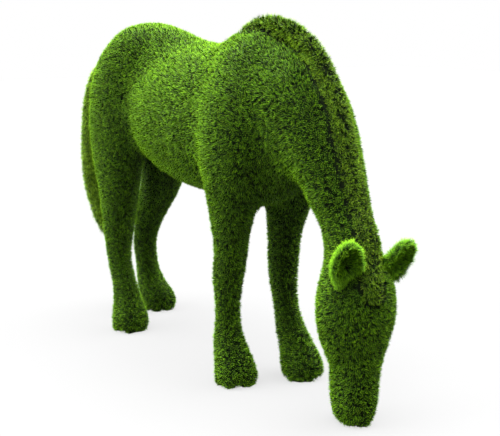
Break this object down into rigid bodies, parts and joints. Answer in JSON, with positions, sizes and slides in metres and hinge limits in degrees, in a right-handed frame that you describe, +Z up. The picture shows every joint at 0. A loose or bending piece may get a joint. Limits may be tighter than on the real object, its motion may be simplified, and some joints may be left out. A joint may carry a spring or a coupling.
{
  "type": "horse topiary sculpture",
  "caption": "Life-size grazing horse figure for a garden, clad all over in short artificial turf, with a longer turf mane, forelock, tail and ears.",
  "frame": {"origin": "on the ground, at the middle of the horse's length and width", "axes": "+X the way the horse faces, +Y to its left, +Z up"},
  "size_m": [2.2285, 0.603, 1.5459],
  "materials": {
    "short_turf": "dense short artificial grass pile, matt, yellow-green tips over dark roots",
    "mane_turf": "longer, ragged artificial grass pile, olive green, matt",
    "tail_turf": "medium artificial grass pile combed down, olive green, matt",
    "ear_turf": "long bright green artificial grass fibres, matt"
  },
  "bodies": {
    "root": {"body": "short_turf", "mane": "mane_turf", "tail": "tail_turf", "right_ear": "ear_turf", "left_ear": "ear_turf"}
  },
  "joints": []
}
